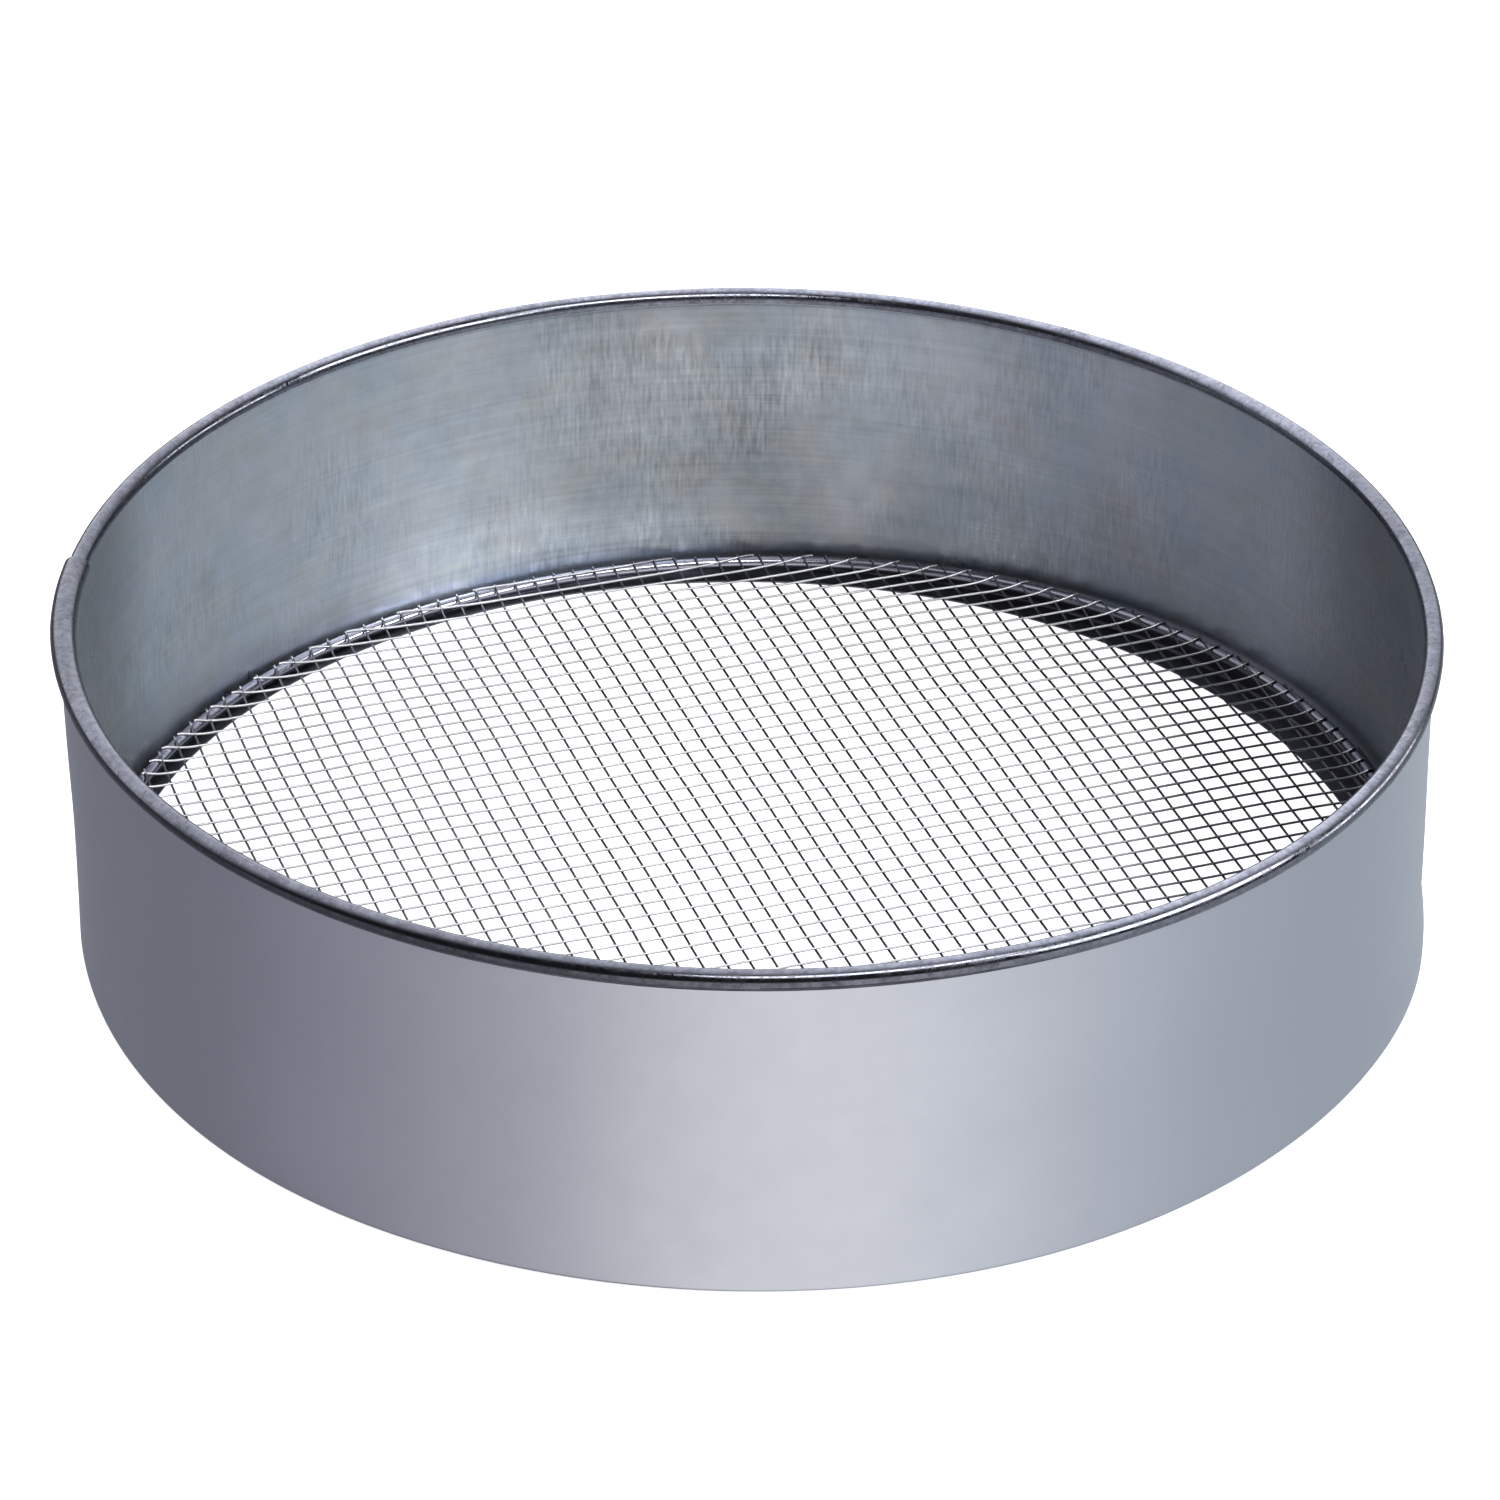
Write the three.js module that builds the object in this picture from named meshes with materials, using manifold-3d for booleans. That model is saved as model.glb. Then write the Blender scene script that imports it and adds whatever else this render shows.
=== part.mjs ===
// Soil sieve: a galvanised sheet hoop with a wired rim and a turned-in foot, and in the foot a sheet
// of welded wire mesh on a round wire ring.
// Millimetres, +Z up. The origin is the centre of the underside, on the surface the hoop stands on.

import * as THREE from 'three';
import { mergeVertices } from 'three/addons/utils/BufferGeometryUtils.js';
import Module from 'manifold-3d';

// Hoop: one strip of sheet rolled round, its ends lapped.
const OVERALL_DIAMETER = 370;
const HOOP_HEIGHT = 95;
const SHEET_THICKNESS = 0.5;
const FLANGE_INNER_DIAMETER = 349.4;
const FOOT_BEND_RADIUS = 1.5;
// The mesh's ring pushes the foot of the wall out by this much, up to just above the ring.
const FOOT_SWELL = 0.9;
const SWELL_TAPER = 2.5;
const SWELL_ABOVE_RING = 3.5;

// Rolled rim: the sheet goes round the rim wire, and its edge stops short of the wall.
const ROLL_DIAMETER = 5.2;
const ROLL_START_ANGLE = -50;
const ROLL_END_ANGLE = 260;
const ROLL_STEPS = 7;
const NECK_BELOW_ROLL = 1.3;
const RIM_WIRE_DIAMETER = 3;
const RIM_WIRE_SIDES = 6;

// Lap seam: the outer end of the strip lies this far outside the inner end.
const LAP_EDGE_ANGLE = 175;
const LAP_WIDTH_ANGLE = 5;
const LAP_STEP = 0.8;
const LAP_RAMP_ANGLE = 20;
const TURN_STEP_ANGLE = 5;

// Mesh on its ring. Both lie a little askew in the hoop: height rises by these slopes along X and Y.
const RING_CENTRE_DIAMETER = 359.2;
const RING_WIRE_DIAMETER = 3.5;
const RING_SIDES = 8;
const RING_SEGMENTS = 72;
const RING_HEIGHT = 10;
const RING_SLOPE_X = 0.0272;
const RING_SLOPE_Y = -0.0314;
const MESH_PITCH = 6.24;
const MESH_WIRE_DIAMETER = 0.6;
const MESH_DIAMETER = 362.4;
const MESH_TURN_ANGLE = 18.4;
const SEATING_GAP = 0.3;

// The two layers of wires are fused all along every 16th wire from the middle, and a hair apart elsewhere.
const WELDED_WIRE_EVERY = 16;
const WELD_SIZE = 0.4;
const LAYER_GAP = 0.1;
const SHORTEST_WIRE = 40;

const ROLL_CENTRE_RADIUS = (OVERALL_DIAMETER - ROLL_DIAMETER) / 2;
const ROLL_CENTRE_HEIGHT = HOOP_HEIGHT - ROLL_DIAMETER / 2;
const ROLL_LINE_RADIUS = (ROLL_DIAMETER - SHEET_THICKNESS) / 2;
const WALL_LINE_RADIUS = ROLL_CENTRE_RADIUS + SHEET_THICKNESS / 2;

const wasm = await Module();
wasm.setup();

const sheetMaterial = new THREE.MeshStandardMaterial({ color: 0x9aa0a8, roughness: 0.38, metalness: 0.9 });
const ringMaterial = new THREE.MeshStandardMaterial({ color: 0xa3a7b0, roughness: 0.35, metalness: 0.9 });
const meshMaterial = new THREE.MeshStandardMaterial({ color: 0xb4b6ba, roughness: 0.3, metalness: 0.9 });
const wireMaterial = new THREE.MeshStandardMaterial({ color: 0x8d9298, roughness: 0.45, metalness: 0.9 });

function radians(degrees) {
  return THREE.MathUtils.degToRad(degrees);
}

// Height of the ring's centre line above the standing surface, at a direction round the hoop.
function ringHeightAt(angle) {
  const radius = RING_CENTRE_DIAMETER / 2;
  const x = radius * Math.cos(angle);
  const y = radius * Math.sin(angle);
  return RING_HEIGHT + RING_SLOPE_X * x + RING_SLOPE_Y * y;
}

// Centre line of the sheet, as radius and height, from the flange's edge to the end of the roll.
// outward moves the wall and the roll out, and lift raises the flange, where one end laps the other.
function sheetCentreLine(angle, outward, lift) {
  const wall = WALL_LINE_RADIUS + outward;
  const foot = wall + FOOT_SWELL;
  const flangeHeight = SHEET_THICKNESS / 2 + lift;
  const swellTop = ringHeightAt(angle) + SWELL_ABOVE_RING;
  const bendCentre = new THREE.Vector2(foot - FOOT_BEND_RADIUS, flangeHeight + FOOT_BEND_RADIUS);
  const line = [new THREE.Vector2(FLANGE_INNER_DIAMETER / 2, flangeHeight)];
  for (const bend of [-90, -45, 0]) {
    const x = FOOT_BEND_RADIUS * Math.cos(radians(bend));
    const y = FOOT_BEND_RADIUS * Math.sin(radians(bend));
    line.push(new THREE.Vector2(bendCentre.x + x, bendCentre.y + y));
  }
  line.push(new THREE.Vector2(foot, swellTop - SWELL_TAPER));
  line.push(new THREE.Vector2(wall, swellTop));
  line.push(new THREE.Vector2(wall, HOOP_HEIGHT - ROLL_DIAMETER - NECK_BELOW_ROLL));
  const rollRadius = ROLL_LINE_RADIUS + outward;
  for (let step = 0; step <= ROLL_STEPS; step += 1) {
    const turn = radians(THREE.MathUtils.lerp(ROLL_START_ANGLE, ROLL_END_ANGLE, step / ROLL_STEPS));
    const x = ROLL_CENTRE_RADIUS + rollRadius * Math.cos(turn);
    const y = ROLL_CENTRE_HEIGHT + rollRadius * Math.sin(turn);
    line.push(new THREE.Vector2(x, y));
  }
  return line;
}

// Closed outline of a strip of constant thickness along an open line, with mitred corners.
function thicken(line, thickness) {
  const outerSide = [];
  const innerSide = [];
  line.forEach((point, index) => {
    const before = line[Math.max(index - 1, 0)];
    const after = line[Math.min(index + 1, line.length - 1)];
    const arriving = index > 0 ? point.clone().sub(before).normalize() : after.clone().sub(point).normalize();
    const leaving = index < line.length - 1 ? after.clone().sub(point).normalize() : arriving;
    const along = arriving.clone().add(leaving).normalize();
    const across = new THREE.Vector2(along.y, -along.x);
    const reach = thickness / 2 / along.dot(arriving);
    outerSide.push(point.clone().addScaledVector(across, reach));
    innerSide.push(point.clone().addScaledVector(across, -reach));
  });
  return [...outerSide, ...innerSide.reverse()];
}

// One strip of sheet, carried clockwise round the axis from its inner end until it laps over that end.
function hoopGeometry() {
  const positions = [];
  const indices = [];
  const steps = (360 + LAP_WIDTH_ANGLE) / TURN_STEP_ANGLE;
  const outlines = [];
  for (let step = 0; step <= steps; step += 1) {
    const travelled = step * TURN_STEP_ANGLE;
    const angle = radians(LAP_EDGE_ANGLE + LAP_WIDTH_ANGLE - travelled);
    const rampStart = 360 - LAP_RAMP_ANGLE;
    const outward = LAP_STEP * THREE.MathUtils.smoothstep(travelled, rampStart, 360);
    const rampFrom = LAP_WIDTH_ANGLE;
    const lift = LAP_STEP * (1 - THREE.MathUtils.smoothstep(travelled, rampFrom, rampFrom + LAP_RAMP_ANGLE));
    const outline = thicken(sheetCentreLine(angle, outward, lift), SHEET_THICKNESS);
    outlines.push(outline);
    for (const point of outline) {
      positions.push(point.x * Math.cos(angle), point.x * Math.sin(angle), point.y);
    }
  }
  const count = outlines[0].length;
  for (let step = 0; step < steps; step += 1) {
    for (let corner = 0; corner < count; corner += 1) {
      const next = (corner + 1) % count;
      const here = step * count;
      const there = here + count;
      indices.push(here + corner, there + next, there + corner);
      indices.push(here + corner, here + next, there + next);
    }
  }
  const lastRow = steps * count;
  for (const [a, b, c] of THREE.ShapeUtils.triangulateShape(outlines[0], [])) {
    indices.push(a, c, b);
  }
  for (const [a, b, c] of THREE.ShapeUtils.triangulateShape(outlines[steps], [])) {
    indices.push(lastRow + a, lastRow + b, lastRow + c);
  }
  const geometry = new THREE.BufferGeometry();
  geometry.setAttribute('position', new THREE.Float32BufferAttribute(positions, 3));
  geometry.setIndex(indices);
  geometry.computeVertexNormals();
  return geometry;
}

function solidFrom(geometry) {
  geometry.deleteAttribute('normal');
  geometry.deleteAttribute('uv');
  const merged = mergeVertices(geometry);
  const vertProperties = merged.attributes.position.array;
  const triVerts = Uint32Array.from(merged.index.array);
  return new wasm.Manifold(new wasm.Mesh({ numProp: 3, vertProperties, triVerts }));
}

function geometryFrom(solid) {
  const { vertProperties, triVerts } = solid.getMesh();
  const geometry = new THREE.BufferGeometry();
  geometry.setAttribute('position', new THREE.BufferAttribute(vertProperties, 3));
  geometry.setIndex(new THREE.BufferAttribute(triVerts, 1));
  geometry.computeVertexNormals();
  return geometry;
}

// The wires of one layer counted from the middle one, out to the last wire that is long enough.
function wireNumbers() {
  const radius = MESH_DIAMETER / 2;
  const reach = Math.sqrt(radius ** 2 - (SHORTEST_WIRE / 2) ** 2);
  const last = Math.floor(reach / MESH_PITCH);
  return Array.from({ length: 2 * last + 1 }, (_, index) => index - last);
}

// Square welded mesh cut to a disc: a lower layer of wires along Y and an upper layer along X.
function meshGeometry() {
  const radius = MESH_DIAMETER / 2;
  const layerHeight = (MESH_WIRE_DIAMETER + LAYER_GAP) / 2;
  const numbers = wireNumbers();
  const pieces = [];
  for (const number of numbers) {
    const offset = number * MESH_PITCH;
    const length = 2 * Math.sqrt(radius ** 2 - offset ** 2);
    const lower = new THREE.BoxGeometry(MESH_WIRE_DIAMETER, length, MESH_WIRE_DIAMETER);
    const upper = new THREE.BoxGeometry(length, MESH_WIRE_DIAMETER, MESH_WIRE_DIAMETER);
    lower.translate(offset, 0, -layerHeight);
    upper.translate(0, offset, layerHeight);
    pieces.push(lower, upper);
  }
  for (const column of numbers) {
    for (const row of numbers) {
      const x = column * MESH_PITCH;
      const y = row * MESH_PITCH;
      const welded = column % WELDED_WIRE_EVERY === 0 || row % WELDED_WIRE_EVERY === 0;
      if (welded && Math.hypot(x, y) < radius - MESH_WIRE_DIAMETER) {
        const weld = new THREE.BoxGeometry(WELD_SIZE, WELD_SIZE, 2 * layerHeight);
        pieces.push(weld.translate(x, y, 0));
      }
    }
  }
  const joined = pieces.map(solidFrom).reduce((whole, piece) => whole.add(piece));
  return geometryFrom(joined);
}

function part(name, geometry, material) {
  const mesh = new THREE.Mesh(geometry, material);
  mesh.name = name;
  return mesh;
}

const group = new THREE.Group();

group.add(part('hoop', hoopGeometry(), sheetMaterial));

const turnSegments = 360 / TURN_STEP_ANGLE;
const rimWireShape = new THREE.TorusGeometry(
  ROLL_CENTRE_RADIUS, RIM_WIRE_DIAMETER / 2, RIM_WIRE_SIDES, turnSegments);
const rimWire = part('rim_wire', rimWireShape, wireMaterial);
rimWire.position.z = ROLL_CENTRE_HEIGHT;
rimWire.rotation.z = radians(LAP_EDGE_ANGLE);
group.add(rimWire);

const meshTray = new THREE.Group();
const trayNormal = new THREE.Vector3(-RING_SLOPE_X, -RING_SLOPE_Y, 1).normalize();
meshTray.quaternion.setFromUnitVectors(new THREE.Vector3(0, 0, 1), trayNormal);
meshTray.position.z = RING_HEIGHT;
group.add(meshTray);

const ringShape = new THREE.TorusGeometry(
  RING_CENTRE_DIAMETER / 2, RING_WIRE_DIAMETER / 2, RING_SIDES, RING_SEGMENTS);
meshTray.add(part('mesh_ring', ringShape, ringMaterial));

const wireMesh = part('wire_mesh', meshGeometry(), meshMaterial);
wireMesh.position.z = RING_WIRE_DIAMETER / 2 + SEATING_GAP + MESH_WIRE_DIAMETER + LAYER_GAP / 2;
wireMesh.rotation.z = radians(MESH_TURN_ANGLE);
meshTray.add(wireMesh);

export default group;
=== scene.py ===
# Soil sieve: a galvanised sheet hoop with a wired rim, and a welded mesh on a wire ring in its foot.
# Lengths below are in millimetres unless a name says otherwise, and mesh data is scaled to metres.

import math

import bpy
import numpy as np
from mathutils import Matrix, Vector


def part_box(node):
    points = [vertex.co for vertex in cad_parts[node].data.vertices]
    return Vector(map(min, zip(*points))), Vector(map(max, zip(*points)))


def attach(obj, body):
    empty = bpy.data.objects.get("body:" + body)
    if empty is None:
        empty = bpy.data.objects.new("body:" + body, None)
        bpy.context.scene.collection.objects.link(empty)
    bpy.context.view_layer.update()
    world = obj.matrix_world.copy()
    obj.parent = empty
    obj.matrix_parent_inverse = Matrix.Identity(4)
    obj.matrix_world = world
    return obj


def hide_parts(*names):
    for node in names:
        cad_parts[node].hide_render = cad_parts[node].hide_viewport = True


MM = 0.001

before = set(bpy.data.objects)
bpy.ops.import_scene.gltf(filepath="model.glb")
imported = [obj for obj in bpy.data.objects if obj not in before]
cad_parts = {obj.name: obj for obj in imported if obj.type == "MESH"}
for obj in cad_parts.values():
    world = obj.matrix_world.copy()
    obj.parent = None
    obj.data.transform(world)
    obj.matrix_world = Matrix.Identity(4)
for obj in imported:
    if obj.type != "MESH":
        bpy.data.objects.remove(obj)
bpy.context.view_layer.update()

# ---------------------------------------------------------------- sizes taken from the frame

rim_wire_low, rim_wire_high = (np.array(corner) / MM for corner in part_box("rim_wire"))


def plane_of(node):
    """Centre and upward normal of the plane that a flat round node lies in, in millimetres."""
    points = np.array([vertex.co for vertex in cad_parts[node].data.vertices]) / MM
    centre = (points.min(0) + points.max(0)) / 2
    normal = np.linalg.svd(points - points.mean(0), full_matrices=False)[2][2]
    return centre, normal * np.sign(normal[2])


# The CAD rim wire is six-sided with flats above and below, so its corners reach the round wire's radius.
RIM_WIRE_RADIUS = (rim_wire_high[2] - rim_wire_low[2]) / 2 / math.cos(math.radians(30))
ROLL_CENTRE_RADIUS = round((rim_wire_high[0] - rim_wire_low[0]) / 2 - RIM_WIRE_RADIUS, 1)
ROLL_CENTRE_HEIGHT = (rim_wire_high[2] + rim_wire_low[2]) / 2
TRAY_CENTRE, TRAY_NORMAL = plane_of("mesh_ring")

# ---------------------------------------------------------------- driving dimensions

# The hoop's sheet: a flange at the foot, a bend, a swollen wall, a neck, and a roll round the rim wire.
SHEET_THICKNESS = 0.5
ROLL_LINE_RADIUS = 2.35
NECK_BEND_RADIUS = 0.9
WALL_LINE_RADIUS = ROLL_CENTRE_RADIUS + SHEET_THICKNESS / 2
FLANGE_INNER_RADIUS = 174.7
FOOT_BEND_RADIUS = 1.4
FOOT_SWELL = 1.15
FOOT_SWELL_SWING = 0.35
SWELL_BOTTOM = 5
SWELL_TOP_SHORT = 19
SWELL_TOP_LONG = 50
SHORT_SWELL_ANGLE = -10
SHORT_SWELL_FOCUS = 4
ROLL_END_ANGLE = 262

# The hoop's lean along X, and its bulges as azimuth, width in degrees and size.
# The rim's bulges grow upwards between two heights, and the foot's fade upwards between two others.
LEAN_AT_FOOT = 0.5
LEAN_PER_HEIGHT = -0.0053
RIM_OUT_OF_ROUND = ((-148, 24, 0.75), (-42, 15, 0.9), (0, 12, -0.5), (40, 15, 0.45))
RIM_BULGE_HEIGHTS = (30, 88)
FOOT_OUT_OF_ROUND = ((-172, 14, -0.8), (-132, 16, 0.9), (-45, 14, -0.8), (-14, 8, 0.7))
FOOT_BULGE_HEIGHTS = (8, 65)

# The lap: the outer end steps out over the inner end, whose flange is lifted over the outer one's.
LAP_EDGE_ANGLE = 175
LAP_WIDTH_ANGLE = 5
LAP_STEP = 0.7
LAP_RAMP_ANGLE = 14
LAP_OUTER_RAMP_ANGLE = 40
ROLL_LAP_SHARE = 1.35
SPOT_WELD_HEIGHTS = (18, 35, 52, 69, 84)
SPOT_WELD_RADIUS = 2.3
SPOT_WELD_FLAT = 0.6
SPOT_WELD_DEPTH = 0.18

# Soft dents and ripples of the wall, as size and wavelength, and the heights over which they set in.
DENT_SIZE = 0.10
DENT_LENGTH = 75
RIPPLE_SIZE = 0.012
RIPPLE_LENGTH = 17
RIPPLE_HEIGHTS = (2, 12)

# The ring and the mesh that is bent down over it.
RING_RADIUS = 179.6
RING_WIRE_RADIUS = 1.75
LOWER_WIRE_PITCH = 6.20
UPPER_WIRE_PITCH = 6.33
LOWER_NORMAL_ANGLE = 18.25
UPPER_NORMAL_ANGLE = 108.0
LOWER_SHIFT = 2.1
UPPER_SHIFT = 0.6
LAST_WIRE = 28
MESH_WIRE_RADIUS = 0.36
MESH_DROP = 1.3
WELD_SET_DOWN = 0.07
TRAY_SHIFT = 0.6

# A wire's way over the ring: the climb from the flat mesh, the touch, and the ranges of its bend and tail.
CLIMB_WIDTH = 11.0
TOUCH_ANGLE = 24
WRAP_ANGLES = (0, 24)
TAIL_LENGTHS = (0.1, 0.6)
FLAT_STEP = 2.0
CHORD_MARGIN = 0.05
BENT_END_WIDTH = 0.7

# The mesh's wander, sideways by sway and jitter and upwards by heave, and where it fades inside the ring.
SWAY_SIZE = 0.35
SWAY_LENGTH = 110
JITTER_SIZE = 0.05
JITTER_LENGTH = 24
HEAVE_SIZE = 0.35
HEAVE_LENGTH = 95
WANDER_FADES = (16, 3)


# ---------------------------------------------------------------- mesh helpers

def mesh_object(name, vertices, faces, materials, face_slots=None):
    """A smooth-shaded object from millimetre vertices and a face array."""
    mesh = bpy.data.meshes.new(name)
    corners = faces.shape[1]
    mesh.vertices.add(len(vertices))
    mesh.vertices.foreach_set("co", (np.asarray(vertices, float) * MM).ravel())
    mesh.loops.add(faces.size)
    mesh.loops.foreach_set("vertex_index", faces.ravel().astype(np.int32))
    mesh.polygons.add(len(faces))
    mesh.polygons.foreach_set("loop_start", np.arange(0, faces.size, corners, dtype=np.int32))
    mesh.update(calc_edges=True)
    mesh.validate()
    for material in materials:
        mesh.materials.append(material)
    if face_slots is not None:
        mesh.polygons.foreach_set("material_index", np.asarray(face_slots, np.int32))
    mesh.polygons.foreach_set("use_smooth", np.ones(len(faces), bool))
    piece = bpy.data.objects.new(name, mesh)
    bpy.context.scene.collection.objects.link(piece)
    return piece


def grid_faces(rows, columns, close_rows=False, close_columns=False):
    """Quads over a rows by columns grid of vertices, wrapping round where asked."""
    row = np.arange(rows if close_rows else rows - 1)
    column = np.arange(columns if close_columns else columns - 1)
    r, c = (index.ravel() for index in np.meshgrid(row, column, indexing="ij"))
    r_next, c_next = (r + 1) % rows, (c + 1) % columns
    corners = (r * columns + c, r * columns + c_next, r_next * columns + c_next, r_next * columns + c)
    return np.stack(corners, 1)


def smooth_step(value, start, end):
    """Nought before start, one past end, with a smooth rise between them."""
    t = np.clip((value - start) / (end - start), 0, 1)
    return t * t * (3 - 2 * t)


def direction_of(azimuth, elevation):
    """Unit vector at an azimuth from +X and an elevation above the floor, in degrees."""
    a, e = math.radians(azimuth), math.radians(elevation)
    return np.array([math.cos(a) * math.cos(e), math.sin(a) * math.cos(e), math.sin(e)])


def arc(centre, radius, start, end, steps):
    """Points on an arc in the radius-height plane, from start to end degrees."""
    turn = np.radians(np.linspace(start, end, steps))
    return np.stack([centre[0] + radius * np.cos(turn), centre[1] + radius * np.sin(turn)], 1)


def wave_field(points, seed, wavelength, waves=24):
    """A smooth random field between about -1 and 1 over points, with bumps near one wavelength wide."""
    rng = np.random.default_rng(seed)
    directions = rng.normal(size=(waves, points.shape[1]))
    directions /= np.linalg.norm(directions, axis=1, keepdims=True)
    rates = 2 * math.pi / (wavelength * rng.uniform(0.7, 1.6, waves))
    phases = rng.uniform(0, 2 * math.pi, waves)
    total = sum(np.cos(points @ (directions[i] * rates[i]) + phases[i]) for i in range(waves))
    return total / math.sqrt(waves)


# ---------------------------------------------------------------- procedural materials

WARM_ZINC = (1.0, 0.93, 0.84, 1)
COLD_ZINC = (0.82, 0.93, 1.0, 1)

# The height where painted side shades with a top start to fade, and the places where the mesh wire's painted
# light and shade change.
LOW_SHADE_FOOT = 13
NEAR_RING_RADII = (158, 172)
SEAM_SIDE_FADE = (-105, -25)
FAR_SIDE_FADE = (85, 135)
WIRE_WANDER = 60


class Nodes:
    """Short calls for building one material's or the world's node tree."""

    def __init__(self, tree):
        self.tree = tree
        tree.nodes.clear()

    def node(self, kind, **settings):
        made = self.tree.nodes.new(kind)
        for name, value in settings.items():
            setattr(made, name, value)
        return made

    def link(self, source, target):
        self.tree.links.new(source, target)
        return source

    def value(self, source, socket):
        if isinstance(source, (int, float, tuple)):
            socket.default_value = source
        else:
            self.link(source, socket)

    def math(self, operation, first, second=0.0, third=0.0, clamp=False):
        made = self.node("ShaderNodeMath", operation=operation, use_clamp=clamp)
        for socket, source in zip(made.inputs, (first, second, third)):
            self.value(source, socket)
        return made.outputs[0]

    def remap(self, source, low, high, to_low, to_high, smooth=False):
        made = self.node("ShaderNodeMapRange", clamp=True)
        made.interpolation_type = "SMOOTHSTEP" if smooth else "LINEAR"
        self.value(source, made.inputs["Value"])
        for name, number in (("From Min", low), ("From Max", high), ("To Min", to_low), ("To Max", to_high)):
            self.value(number, made.inputs[name])
        return made.outputs["Result"]

    def swing(self, source, amount):
        """A texture value turned into a signed amount around nought."""
        return self.math("MULTIPLY", self.math("SUBTRACT", source, 0.5), amount)

    def mix(self, factor, first, second, blend="MIX"):
        made = self.node("ShaderNodeMix", data_type="RGBA", blend_type=blend)
        self.value(factor, made.inputs["Factor"])
        self.value(first, made.inputs["A"])
        self.value(second, made.inputs["B"])
        return made.outputs["Result"]

    def scaled(self, coordinates, scale):
        made = self.node("ShaderNodeMapping")
        self.link(coordinates, made.inputs["Vector"])
        made.inputs["Scale"].default_value = scale
        return made.outputs["Vector"]

    def noise(self, coordinates, scale, detail=3.0, roughness=0.5, distortion=0.0):
        made = self.node("ShaderNodeTexNoise")
        self.link(coordinates, made.inputs["Vector"])
        made.inputs["Scale"].default_value = scale
        made.inputs["Detail"].default_value = detail
        made.inputs["Roughness"].default_value = roughness
        made.inputs["Distortion"].default_value = distortion
        return made.outputs["Fac"]


def per_metre(millimetres):
    """Texture scale for features about this many millimetres apart."""
    return 1 / (millimetres * MM)


def zinc_material(name, colour, shade, roughness, cloud=0.5, spangle=0.0, streak=0.0, ticks=0.0, tint=0.0,
                  bump=0.1, spread=1.0, painted_side_shades=()):
    """Zinc-coated steel: soft clouds, spangle, rolling lines round the hoop, upright ticks and fine grain.

    Spread scales the clouds and the spangle. Each painted side shade is an azimuth, a reach, a top and a
    change: it paints light or shade, lighter or darker from the reach outwards on that side, fading up to the
    top if it has one.
    """
    material = bpy.data.materials.new(name)
    material.use_nodes = True
    n = Nodes(material.node_tree)
    position = n.node("ShaderNodeTexCoord").outputs["Object"]
    clouds = n.noise(position, per_metre(34 * spread), detail=4, roughness=0.55, distortion=0.4)
    patches = n.noise(position, per_metre(9 * spread), detail=5, roughness=0.6)
    rolling = n.noise(n.scaled(position, (14, 14, per_metre(1.1))), 1.0, detail=4, roughness=0.6)
    upright = n.noise(n.scaled(position, (per_metre(0.9), per_metre(0.9), per_metre(7))), 1.0, detail=3)
    grain = n.noise(position, per_metre(0.45), detail=2)
    cells = n.node("ShaderNodeTexVoronoi")
    n.link(position, cells.inputs["Vector"])
    cells.inputs["Scale"].default_value = per_metre(5 * spread)
    cell_shade = n.node("ShaderNodeSeparateColor")
    n.link(cells.outputs["Color"], cell_shade.inputs["Color"])

    tick_zone = n.remap(n.noise(position, per_metre(48), detail=2), 0.42, 0.60, 0.15, 1.0, smooth=True)
    tone = n.swing(clouds, cloud)
    tone = n.math("ADD", tone, n.swing(patches, cloud * 0.6))
    tone = n.math("ADD", tone, n.swing(cell_shade.outputs[0], spangle))
    tone = n.math("ADD", tone, n.swing(rolling, streak))
    tone = n.math("ADD", tone, n.math("MULTIPLY", n.swing(upright, ticks), tick_zone))
    level = n.math("ADD", tone, 0.5, clamp=True)
    paint = n.mix(level, (*shade, 1), (*colour, 1))
    if tint:
        warmth = n.noise(position, per_metre(15 * spread), detail=3, distortion=0.8)
        warmth = n.remap(warmth, 0.50, 0.68, 0.0, tint, smooth=True)
        coldness = n.noise(position, per_metre(27), detail=3)
        coldness = n.remap(coldness, 0.44, 0.64, 0.0, tint, smooth=True)
        paint = n.mix(warmth, paint, WARM_ZINC, "MULTIPLY")
        paint = n.mix(coldness, paint, COLD_ZINC, "MULTIPLY")

    # Painted light and shade: each side shade lightens or darkens one side of the part.
    for azimuth, reach, top, change in painted_side_shades:
        toward = n.node("ShaderNodeVectorMath", operation="DOT_PRODUCT")
        n.link(position, toward.inputs[0])
        toward.inputs[1].default_value = direction_of(azimuth, 0)
        there = n.remap(toward.outputs["Value"], reach * MM, WALL_LINE_RADIUS * MM, 0.0, 1.0, smooth=True)
        amount = change
        if top:
            apart = n.node("ShaderNodeSeparateXYZ")
            n.link(position, apart.inputs[0])
            amount = n.remap(apart.outputs["Z"], LOW_SHADE_FOOT * MM, top * MM, change, 0.0, smooth=True)
        paint = n.mix(1.0, paint, n.math("MULTIPLY_ADD", there, amount, 1.0), "MULTIPLY")

    rough = n.math("ADD", roughness, n.math("MULTIPLY", tone, -0.3))
    rough = n.math("ADD", rough, n.swing(grain, 0.06), clamp=True)

    surface = n.node("ShaderNodeBsdfPrincipled")
    if bump:
        relief = n.math("ADD", n.math("MULTIPLY", rolling, 0.6), n.math("MULTIPLY", grain, 0.4))
        raised = n.node("ShaderNodeBump")
        raised.inputs["Strength"].default_value = bump
        raised.inputs["Distance"].default_value = 0.05 * MM
        n.link(relief, raised.inputs["Height"])
        n.link(raised.outputs["Normal"], surface.inputs["Normal"])
    n.link(paint, surface.inputs["Base Color"])
    n.link(rough, surface.inputs["Roughness"])
    surface.inputs["Metallic"].default_value = 1.0
    n.link(surface.outputs["BSDF"], n.node("ShaderNodeOutputMaterial").inputs["Surface"])
    return material


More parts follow.
